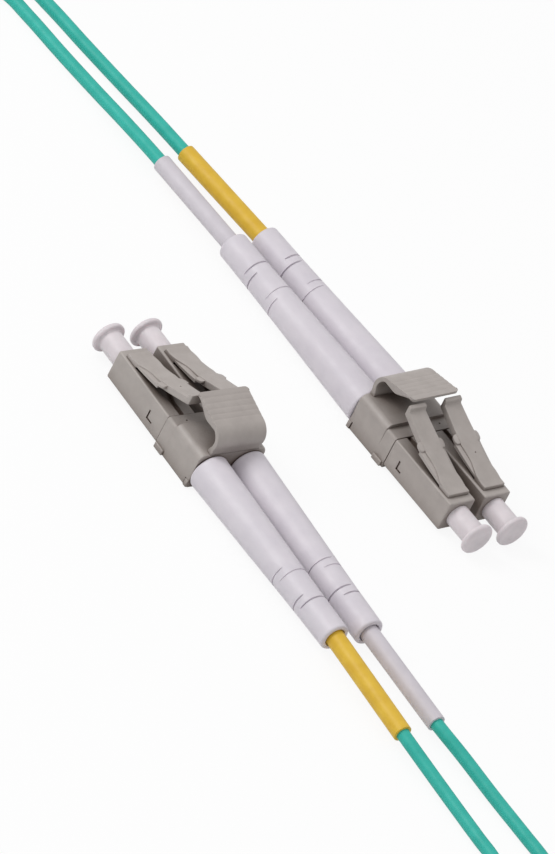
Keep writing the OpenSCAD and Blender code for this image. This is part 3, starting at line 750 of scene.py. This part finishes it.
def square_ring(x, half, radius):
    """Rounded square cross-section of the housing."""
    return [(x, p.x, p.y) for p in rounded([(half, half, radius), (-half, half, radius),
                                            (-half, -half, radius), (half, -half, radius)])]


def window_gap(foot, side):
    """Cutters for two sides of the gap around the snap tab: an upright one and its foot."""
    wall = side * NOSE_W / 2
    rear = -WINDOW_BACK if side < 0 else -WINDOW_BACK + WINDOW_LEN - GAP_W
    foot_end = rear + foot if side < 0 else rear - foot + GAP_W
    upright = block("upright", (rear, wall - GAP_DEPTH, GAP_LOW), (rear + GAP_W, wall + GAP_DEPTH, GAP_HIGH))
    ledge = block("foot", (min(rear, foot_end), wall - GAP_DEPTH, GAP_LOW - GAP_W / 2),
                  (max(rear + GAP_W, foot_end), wall + GAP_DEPTH, GAP_LOW + GAP_W / 2))
    return upright, ledge


def latch_slot():
    """Cutter for the slot under the latch: it holds the root's skirt and narrows behind it."""
    front = LATCH_HINGE[0] + ROOT_FRONT + SLOT_FIT
    root_half_w = ROOT_HALF_W + SLOT_FIT
    stations = [(front, root_half_w), (SLOT_ROOT_X, root_half_w), *SLOT_HALF_W]
    high = NOSE_W / 2 + 1
    low = NOSE_W / 2 - SLOT_DEPTH
    return loft("slot", [[(x, w, low), (x, w, high), (x, -w, high), (x, -w, low)] for x, w in stations])


def housing(plug, core):
    """Square nose with a rounded front, its neck, its stepped bore, its slot and its window gaps."""
    half = NOSE_W / 2
    neck_half = NECK_W / 2
    back = -HOUSING_LEN
    front_r = 0.22
    corner_shrink = 0.6
    back_r = 0.06
    mouth = 0.12
    rings = []
    for a in SHORT_QUARTER:
        inset = front_r * (1 - math.sin(a))
        corner = HOUSING_EDGE_R - inset * corner_shrink
        rings.append(square_ring(-front_r * (1 - math.cos(a)), half - inset, corner))
    rear = [(back + back_r, half), (back, half - back_r), (back, neck_half), (-NECK_BACK, neck_half)]
    rings += [square_ring(x, half_w, HOUSING_EDGE_R) for x, half_w in rear]
    body = loft("housing", rings)
    bore = lathe("bore", [(-1, NOSE_BORE_R + mouth), (0, NOSE_BORE_R + mouth), (mouth, NOSE_BORE_R),
                          (STOP_DEPTH, NOSE_BORE_R), (STOP_DEPTH, CAVITY_R), (SPRING_BACK, CAVITY_R),
                          (SPRING_BACK, REAR_BORE_R), (NECK_BACK + 1, REAR_BORE_R)], sides=48)
    combined(body, "DIFFERENCE", bore, latch_slot(), *window_gap(LONG_FOOT, -1), *window_gap(SHORT_FOOT, 1))
    return placed(body, f"{core}_housing_{plug}", half_frame(plug, core), HOUSING, ROOT,
                  f"plug_{plug}_{core}_housing")


def pit(at, radius, depth, floor_r):
    """Cutter for a small round pit in an upper face, narrower at its floor."""
    cutter = lathe("pit", [(-0.3, radius), (depth, floor_r)], sides=12)
    cutter.data.transform(Matrix.Translation(at) @ Matrix.Rotation(math.radians(-90), 4, "Y"))
    return cutter


def latch_top(d):
    """Upper face of the arm at a distance behind its hinge, without its lip."""
    return LATCH_HINGE[1] + BEAD_R + LATCH_SLOPE * max(0, d) + LATCH_BOW * max(0, d) ** 2


def latch_thickness(d):
    """Thickness of the arm at a distance behind its hinge."""
    return min(ARM_T, ROOT_T + T_GAIN * d)


def latch_low(d):
    """Underside of the arm at a distance behind its hinge."""
    return max(NOSE_W / 2 + RUN_GAP, latch_top(d) - latch_thickness(d))


def latch_half_w(d):
    """Half the arm's width at a distance behind its hinge, without its ears."""
    if d < WAIST_AT:
        return ROOT_HALF_W + (WAIST_HALF_W - ROOT_HALF_W) * eased((d - ROOT_TO) / (WAIST_AT - ROOT_TO))
    if d < EAR_FROM:
        return WAIST_HALF_W + (ARM_HALF_W - WAIST_HALF_W) * eased((d - WAIST_AT) / (EAR_FROM - WAIST_AT))
    return ARM_HALF_W - ARM_TAPER * max(0, d - EAR_TO)


def latch_ring(d, inset=0.0, rise=0.0):
    """Rounded cross-section of the latch at a distance behind its hinge."""
    half = latch_half_w(d) - inset
    top = latch_top(d) + rise - inset
    low = SKIRT_LOW if d <= SKIRT_TO else latch_low(d) + inset
    edge_r = 0.14
    outline = rounded([(half, top, edge_r), (-half, top, edge_r), (-half, low, edge_r),
                       (half, low, edge_r)], steps=3)
    return [(LATCH_HINGE[0] - d, p.x, p.y) for p in outline]


def latch_ears():
    """Bar across the arm whose rounded ends are the two ears."""
    corner = 0.4
    level = 1.0
    slope = 0.18
    sunk = 0.02
    steps = 8
    crowding = 0.6
    rings = []
    for k in range(-steps, steps + 1):
        y = -EAR_HALF_W * math.copysign(abs(k / steps) ** crowding, k)
        over = max(0, abs(y) - EAR_HALF_W + corner)
        cut = corner - math.sqrt(max(0, corner ** 2 - over ** 2))
        front = EAR_FROM + cut
        rear = EAR_TO - cut
        drop = sunk + slope * max(0, abs(y) - level)
        side_view = [(front, latch_top(front) - drop), (rear, latch_top(rear) - drop),
                     (rear, latch_top(rear) - EAR_T), (front, latch_top(front) - EAR_T)]
        rings.append([(LATCH_HINGE[0] - d, y, z) for d, z in side_view])
    return softened(loft("ears", rings), width=0.06, segments=2, angle=50)


def ear_web(side):
    """Web along one edge of the arm, from its root out to an ear, with a sloping upper face."""
    steps = 7
    inner = 1.0
    shoulder = 1.38
    outer_drop, shoulder_drop, inner_drop = 0.52, 0.26, 0.3
    rings = []
    for k in range(steps + 1):
        d = WEB_FROM + (WEB_TO - WEB_FROM) * k / steps
        outer = WEB_ROOT_HALF_W + (WEB_EAR_HALF_W - WEB_ROOT_HALF_W) * k / steps
        top = latch_top(d)
        low = latch_low(d) + 0.04
        thickness = latch_thickness(d)
        section = [(inner, low), (outer, low), (outer, top - outer_drop * thickness),
                   (shoulder, top - shoulder_drop * thickness), (inner, top - inner_drop * thickness)]
        rings.append([(LATCH_HINGE[0] - d, side * y, z) for y, z in section])
    return loft("web", rings)


def ear_facet(side):
    """Cutter for the three-cornered facet in the arm's upper face in front of an ear."""
    width = 1.4
    fall = 0.4
    rings = []
    for d, inner in FACET_INNER:
        outer = inner + width
        top = latch_top(d)
        spots = [(inner, top + 0.02), (outer, top - fall), (outer, top + 1), (inner, top + 1)]
        rings.append([(LATCH_HINGE[0] - d, side * y, z) for y, z in spots])
    return loft("facet", rings)


def latch(plug, core):
    """Arm with its ears, webs and lip. The yellow half's arm has a gate mark."""
    edge = 0.12
    soft = edge * 0.3
    front = -ROOT_FRONT
    rise = LIP_TOP - latch_top(LATCH_LEN)
    lip_from = LATCH_LEN - LIP_LEN
    lip_front = ((-0.12, 0), (-0.03, 0.08), (0, 0.2), (0.03, rise - 0.1), (0.1, rise))
    rings = [latch_ring(front, edge), latch_ring(front + soft, soft), latch_ring(front + edge)]
    rings += [latch_ring(d) for d in ARM_STATIONS]
    rings += [latch_ring(lip_from + past, rise=height) for past, height in lip_front]
    rings += [latch_ring(LATCH_LEN - edge, rise=rise), latch_ring(LATCH_LEN - soft, soft, rise),
              latch_ring(LATCH_LEN, edge, rise)]
    arm = loft("latch", rings)
    combined(arm, "UNION", latch_ears(), ear_web(1), ear_web(-1))
    combined(arm, "DIFFERENCE", ear_facet(1), ear_facet(-1))
    if core == "yellow":
        d = GATE_AT[plug]
        at = (LATCH_HINGE[0] - d, 0, latch_top(d))
        combined(arm, "DIFFERENCE", pit(at, GATE_R, depth=GATE_R, floor_r=GATE_R * 0.7))
    return placed(arm, f"{core}_latch_{plug}", half_frame(plug, core), HOUSING,
                  f"plug_{plug}_{core}_latch_arm", f"plug_{plug}_{core}_latch")


def slit(back, radius, middle, reach, deep):
    """Cutter for a bend slit around a boot, in degrees about its axis, that runs out at both ends."""
    steps = 18
    high = radius + 0.6
    half_w = SLIT_W / 2
    floor_half_w = SLIT_W * 0.3
    rings = []
    for k in range(steps + 1):
        share = 2 * k / steps - 1
        a = math.radians(middle + reach * share)
        low = radius + 0.03 - deep * math.sqrt(max(0, 1 - share ** 4))
        spots = [(-back - half_w, high), (-back + half_w, high), (-back + floor_half_w, low),
                 (-back - floor_half_w, low)]
        rings.append([(x, r * math.cos(a), r * math.sin(a)) for x, r in spots])
    return loft("slit", rings)


def boot(plug, core):
    """Tapered strain relief with pairs of crossed bend slits."""
    start, end = axis_points(plug, core)[1:3]
    length = (end - start).length
    rear = length - SLIT_FROM_END
    taper = BOOT_FRONT_R - BOOT_REAR_R
    blend = 3
    edge = 0.35
    rim = 0.32
    mouth = 0.15
    profile = [(-BOOT_NECK_LEN, BOOT_NECK_R), (RUN_GAP, BOOT_NECK_R), (RUN_GAP, BOOT_FRONT_R - edge)]
    profile += [(RUN_GAP + edge * (1 - math.cos(a)), BOOT_FRONT_R - edge * (1 - math.sin(a)))
                for a in SHORT_QUARTER[1:]]
    profile += [(rear - blend, BOOT_REAR_R + blend / rear * taper), (rear, BOOT_REAR_R + 0.02),
                (rear + 2, BOOT_REAR_R)]
    profile += [(length - rim + rim * math.sin(a), BOOT_REAR_R - 0.03 - rim + rim * math.cos(a))
                for a in QUARTER]
    profile += [(length, BOOT_MOUTH_R + mouth), (length - mouth, BOOT_MOUTH_R),
                (BOOT_BORE_TO + 0.1, BOOT_MOUTH_R), (BOOT_BORE_TO, BOOT_BORE_R),
                (-BOOT_NECK_LEN, BOOT_BORE_R)]
    body = lathe("boot", profile, sides=72, closed=True)
    cutters = []
    for at, deep in zip((rear, rear - SLIT_PAIR), SLIT_DEPTHS):
        radius = BOOT_REAR_R + (rear - at) / rear * taper
        for back, arcs in zip((at, at - SLIT_GAP), SLITS[plug, core]):
            for middle, reach in arcs:
                turned = middle if plug == "a" else 180 - middle
                cutters.append(slit(back, radius, turned, reach, deep))
    combined(body, "DIFFERENCE", *cutters)
    back = (end - start).normalized()
    lay = Matrix((-back, UP.cross(-back), UP)).transposed().to_4x4()
    place = half_frame(plug, core) @ Matrix.Translation(start) @ lay
    return placed(body, f"{core}_boot_{plug}", place, BOOT, ROOT, f"plug_{plug}_{core}_boot", sharp=45)


def dust_cap(plug, core):
    """Turned cap with a flared, domed rim, a shallow dish in its end and a bore for the ferrule."""
    seat = 0.01
    edge = 0.04
    fillet = 0.3
    back_edge = 0.26
    front_edge = 0.36
    dish = 0.06
    middle_r = 0.02
    profile = [(-seat, CAP_BORE_R), (-seat, CAP_R - edge), (-seat - edge, CAP_R)]
    profile += [(CAP_RIM_T + fillet - CAP_LEN - fillet * math.sin(a),
                 CAP_R + fillet * (1 - math.cos(a))) for a in QUARTER]
    profile += [(CAP_RIM_T - CAP_LEN - back_edge * (1 - math.cos(a)),
                 CAP_RIM_R - back_edge * (1 - math.sin(a))) for a in QUARTER]
    profile += [(front_edge - CAP_LEN - front_edge * math.sin(a),
                 CAP_RIM_R - front_edge * (1 - math.cos(a))) for a in QUARTER]
    profile += [(-CAP_LEN, CAP_DISH_R[0]), (-CAP_LEN + dish, CAP_DISH_R[1]), (-CAP_LEN + dish, middle_r),
                (-CAP_BORE_LEN, middle_r), (-CAP_BORE_LEN, CAP_BORE_R)]
    body = lathe("cap", profile, closed=True)
    return placed(body, f"{core}_cap_{plug}", half_frame(plug, core), CAP, f"plug_{plug}_{core}_cap",
                  f"plug_{plug}_{core}_dust_cap")


def ferrule(plug, core):
    """Ceramic pin with a domed tip."""
    dome = 0.25
    middle_r = 0.001
    steps = 4
    profile = [(-FERRULE_OUT, middle_r), (-FERRULE_OUT, FERRULE_TIP_R)]
    for k in range(1, steps + 1):
        share = k / steps
        radius = FERRULE_TIP_R + (FERRULE_R - FERRULE_TIP_R) * math.sqrt(share)
        profile.append((-FERRULE_OUT + dome * share, radius))
    profile += [(FERRULE_SEAT, FERRULE_R), (FERRULE_SEAT, middle_r)]
    body = lathe("ferrule", profile, sides=48)
    return placed(body, f"{core}_ferrule_{plug}", half_frame(plug, core), CERAMIC,
                  f"plug_{plug}_{core}_ferrule_assembly", f"plug_{plug}_{core}_ferrule")


# ---- Pieces that both halves share ----

def clip_ring(x, top, top_r, half, inset=0.0, low_inset=None):
    """Rounded cross-section of the clip's body: its lower half has one width from end to end."""
    low_inset = inset if low_inset is None else low_inset
    low = COLLAR_HALF_W - low_inset
    bottom = CLIP_BOTTOM + low_inset
    step_z, step_r, foot_r = -0.5, 0.1, 0.35
    corners = [(half - inset, top - inset, top_r), (-half + inset, top - inset, top_r),
               (-low, step_z, step_r), (-low, bottom, foot_r), (low, bottom, foot_r), (low, step_z, step_r)]
    return [(x, p.x, p.y) for p in rounded(corners, steps=6)]


def on_wall(side, inner, outer):
    """Range of Y across the clip's side wall, in order."""
    wall = side * COLLAR_HALF_W
    return sorted((wall - side * inner, wall + side * outer))


def clip_lugs(side):
    """Catch at the collar and stop at the rear end, low on one side wall."""
    foot = CLIP_BOTTOM + 0.12
    low, high = on_wall(side, inner=0.3, outer=0.3)
    catch = block("lug", (CATCH_X[0], low, foot), (CATCH_X[1], high, foot + CATCH_H))
    low, high = on_wall(side, inner=0.3, outer=0.12)
    stop = block("lug", (STOP_X[0], low, foot), (STOP_X[1], high, foot + STOP_H))
    return [softened(lug, width=0.12) for lug in (catch, stop)]


def clip_cutters(side):
    """Socket for a housing's neck, bore for a boot's neck, and the slot in front of the rear stop."""
    mid = side * PITCH / 2
    half = NECK_W / 2 + RUN_GAP
    back = -CLIP_BORE_FROM - RUN_GAP
    socket = block("socket", (back, mid - half, -half), (SOCKET_FROM_X, mid + half, half))
    bore = lathe("bore", [(CLIP_BORE_FROM, CLIP_BORE_R), (CLIP_BACK + 1, CLIP_BORE_R)], sides=48)
    bore.data.transform(Matrix.Translation((0, mid, 0)))
    low, high = on_wall(side, inner=0.15, outer=0.5)
    slot = block("slot", (STOP_SLOT_X[0], low, CLIP_BOTTOM - 0.1), (STOP_SLOT_X[1], high, STOP_SLOT_TOP))
    return [socket, bore, slot]


def clip(plug):
    """Collar and wider main body in one, with the trigger's groove and a dimple in the collar."""
    collar = (COLLAR_TOP, 0.45, COLLAR_HALF_W + 0.01)
    main = (CLIP_TOP, 1.0, CLIP_HALF_W)
    front = -HOUSING_LEN - 0.02
    rings = [clip_ring(front, *collar, inset=0.1), clip_ring(front - 0.03, *collar, inset=0.03),
             clip_ring(front - 0.1, *collar), clip_ring(-COLLAR_BACK + 0.01, *collar)]
    rings += [clip_ring(-COLLAR_BACK, *main, inset=0.04, low_inset=0),
              clip_ring(-COLLAR_BACK - 0.04, *main), clip_ring(-CLIP_BACK + 0.25, *main),
              clip_ring(-CLIP_BACK + 0.07, *main, inset=0.06), clip_ring(-CLIP_BACK, *main, inset=0.22)]
    body = loft("clip", rings)
    combined(body, "UNION", *clip_lugs(1), *clip_lugs(-1))
    groove = rod_across("groove", *TRIGGER_HINGE, TRIGGER_BEAD_R + 0.02, TRIGGER_W / 2 + 0.02)
    dimple = pit((DIMPLE_X, PITCH / 2, COLLAR_TOP), DIMPLE_R, depth=0.2, floor_r=0.12)
    combined(body, "DIFFERENCE", *clip_cutters(1), *clip_cutters(-1), groove, dimple)
    return placed(body, f"clip_{plug}", plug_frame(plug), HOUSING, ROOT, f"plug_{plug}_clip")


def trigger_back(radius, degrees):
    """Point of the trigger's curl in its side view."""
    a = math.radians(degrees)
    return Vector((TRIGGER_MID[0] + radius * math.cos(a), TRIGGER_MID[1] + radius * math.sin(a)))


def trigger_top(front_top):
    """Upper face of the trigger, from its curl to its front edge, with soft grip grooves."""
    crest = trigger_back(TRIGGER_R, CURL_CREST)
    handle = crest + Vector((2.2, 0.5))
    reach = (front_top - crest).length
    steps = 44
    points = []
    for k in range(1, steps + 1):
        t = k / steps
        p = (1 - t) ** 2 * crest + 2 * t * (1 - t) * handle + t ** 2 * front_top
        from_front = (1 - t) * reach / GROOVE_PITCH
        if 0.5 < from_front < GROOVES + 0.5:
            p.y -= GROOVE_DEPTH * max(0, math.cos(2 * math.pi * from_front)) ** 2
        points.append(p)
    return points


def trigger_underside(front_low):
    """Lower face of the trigger, from its front edge and down the inside of its curl."""
    inner_r = TRIGGER_R - TRIGGER_T
    dip_end = Vector((TRIGGER_MID[0] + 1, trigger_back(inner_r, CURL_INSIDE).y - 0.05))
    steps = 12
    points = []
    for k in range(steps + 1):
        t = k / steps
        points.append(Vector((front_low.x + (dip_end.x - front_low.x) * t,
                              front_low.y + (dip_end.y - front_low.y) * eased(t))))
    return points + [trigger_back(inner_r, CURL_INSIDE + 6 * k) for k in range(17)]


def trigger_outline(front_x):
    """Side view of the trigger, once around."""
    front_low = Vector((front_x, TRIGGER_EDGE_Z))
    front_top = Vector((front_x, TRIGGER_EDGE_Z + TRIGGER_EDGE_T))
    root_x, root_z = TRIGGER_HINGE
    rear = root_x - TRIGGER_BEAD_R
    near = root_x + TRIGGER_BEAD_R
    outline = [Vector((rear, root_z)), Vector((rear - 0.02, root_z + 0.4))]
    outline += [trigger_back(TRIGGER_R, CURL_FROM - 5 * k) for k in range(20)]
    outline += trigger_top(front_top) + trigger_underside(front_low)
    return outline + [Vector((near, root_z + 0.25)), Vector((near, root_z))]


def trigger(plug):
    """Side view swept across the plug, with rounded front corners and soft sides, and its bead."""
    half = TRIGGER_W / 2
    corner = 0.5
    edge = 0.1
    insides = (0, 0.04, edge, 0.25, corner)
    rings = []
    for y in [half - i for i in insides] + [i - half for i in reversed(insides)]:
        over = max(0, abs(y) - (half - corner))
        front_x = TRIGGER_FRONT_X - (corner - math.sqrt(corner ** 2 - over ** 2))
        outline = trigger_outline(front_x)
        inset = max(0, edge - math.sqrt(max(0, edge ** 2 - max(0, abs(y) - (half - edge)) ** 2)))
        n = len(outline)
        ring = []
        for i, p in enumerate(outline):
            along = (outline[(i + 1) % n] - outline[i - 1]).normalized()
            ring.append((p.x + inset * along.y, y, p.y - inset * along.x))
        rings.append(ring)
    body = loft("trigger", rings)
    combined(body, "UNION", rod_across("bead", *TRIGGER_HINGE, TRIGGER_BEAD_R, half))
    return placed(body, f"trigger_{plug}", plug_frame(plug), HOUSING, f"plug_{plug}_trigger_arm",
                  f"plug_{plug}_trigger")


def inner_pieces(plug, core):
    """Gives the hidden CAD pieces of a half their materials."""
    looks = {"ferrule_flange": STEEL, "spring": STEEL, "crimp_sleeve": STEEL, "rear_body": HOUSING}
    for piece, look in looks.items():
        materials = frame["nodes"][f"plug_{plug}_{core}_{piece}"].data.materials
        materials.clear()
        materials.append(look)


for plug_name in PLUGS:
    clip(plug_name)
    trigger(plug_name)
    for core_name in CORES:
        for make in (housing, latch, boot, dust_cap, ferrule, inner_pieces):
            make(plug_name, core_name)


# ---- Stage, lights and camera ----

def sees_background(tree):
    """1 for the rays that see the background: camera, glossy and transmission rays."""
    rays = tree.nodes.new("ShaderNodeLightPath")
    total = rays.outputs["Is Camera Ray"]
    for output in ("Is Glossy Ray", "Is Transmission Ray"):
        either = tree.nodes.new("ShaderNodeMath")
        either.operation = "MAXIMUM"
        tree.links.new(total, either.inputs[0])
        tree.links.new(rays.outputs[output], either.inputs[1])
        total = either.outputs["Value"]
    return total


def mixed(tree, factor, first, second, output):
    """Mixes two shaders by a factor into the output node."""
    mix = tree.nodes.new("ShaderNodeMixShader")
    tree.links.new(factor, mix.inputs["Fac"])
    tree.links.new(first, mix.inputs[1])
    tree.links.new(second, mix.inputs[2])
    tree.links.new(mix.outputs["Shader"], tree.nodes[output].inputs["Surface"])


def floor():
    """Pale floor that the camera sees as nearly white, and that keeps a tenth of the object's shadow."""
    half = 3.0
    plane = draft("floor", [(-half, -half, 0), (half, -half, 0), (half, half, 0), (-half, half, 0)],
                  [(0, 1, 2, 3)])
    plane.location.z = -0.02 * MM
    mat = bpy.data.materials.new("floor_look")
    mat.use_nodes = True
    tree = mat.node_tree
    shader = tree.nodes["Principled BSDF"]
    shader.inputs["Base Color"].default_value = (0.9, 0.9, 0.9, 1)
    shader.inputs["Roughness"].default_value = 0.9
    shader.inputs["Specular IOR Level"].default_value = 0.1
    glow = tree.nodes.new("ShaderNodeEmission")
    share = tree.nodes.new("ShaderNodeMath")
    share.operation = "MULTIPLY"
    share.inputs[1].default_value = 0.9
    tree.links.new(sees_background(tree), share.inputs[0])
    mixed(tree, share.outputs["Value"], shader.outputs["BSDF"], glow.outputs["Emission"], "Material Output")
    plane.data.materials.append(mat)


def world():
    """White behind the object, and a plain fill light that is stronger from overhead."""
    sky = bpy.data.worlds.new("studio")
    sky.use_nodes = True
    tree = sky.node_tree
    seen = tree.nodes.new("ShaderNodeBackground")
    seen.inputs["Strength"].default_value = 1.0
    seen.inputs["Color"].default_value = (1, 1, 1, 1)
    fill = tree.nodes["Background"]
    fill.inputs["Color"].default_value = (0.99, 0.99, 1.0, 1)
    where = tree.nodes.new("ShaderNodeTexCoord")
    parts = tree.nodes.new("ShaderNodeSeparateXYZ")
    tree.links.new(where.outputs["Generated"], parts.inputs["Vector"])
    overhead = tree.nodes.new("ShaderNodeMapRange")
    overhead.inputs["To Min"].default_value = 0.14
    overhead.inputs["To Max"].default_value = 0.82
    tree.links.new(parts.outputs["Z"], overhead.inputs["Value"])
    tree.links.new(overhead.outputs["Result"], fill.inputs["Strength"])
    mixed(tree, sees_background(tree), fill.outputs["Background"], seen.outputs["Background"],
          "World Output")
    bpy.context.scene.world = sky


TARGET = Vector((-14.05, -9.95, 0.4)) * MM


def softbox(name, offset, size, watts):
    """Square white lamp at an offset from the middle of the view, in metres, aimed at it."""
    light = bpy.data.lights.new(name, "AREA")
    light.shape = "SQUARE"
    light.size = size
    light.energy = watts
    lamp = bpy.data.objects.new(name, light)
    lamp.location = TARGET + Vector(offset)
    lamp.rotation_euler = (-Vector(offset)).to_track_quat("-Z", "Y").to_euler()
    bpy.context.scene.collection.objects.link(lamp)


def camera():
    """Long lens at the photograph's angle: 35.8 degrees above the surface, rolled by 27.9 degrees."""
    distance = 3.0
    view_height = 109.82 * MM
    right = Vector((0.8838, 0.2738, 0.3793))
    up = Vector((-0.4678, 0.5174, 0.7165))
    back = right.cross(up).normalized()
    sensor = 36
    data = bpy.data.cameras.new("camera")
    data.sensor_fit = "AUTO"
    data.sensor_width = sensor
    data.lens = sensor * distance / view_height
    data.clip_start = 0.1
    data.clip_end = 50
    obj = bpy.data.objects.new("camera", data)
    turn = Matrix((right, up, back)).transposed().to_4x4()
    obj.matrix_world = Matrix.Translation(TARGET + back * distance) @ turn
    bpy.context.scene.collection.objects.link(obj)
    bpy.context.scene.camera = obj


floor()
world()
softbox("key", (-0.5, -0.12, 0.48), size=0.3, watts=2.15)
softbox("fill", (0.35, -0.4, 0.5), size=0.5, watts=0.45)
camera()
bpy.context.scene.view_settings.view_transform = "Standard"
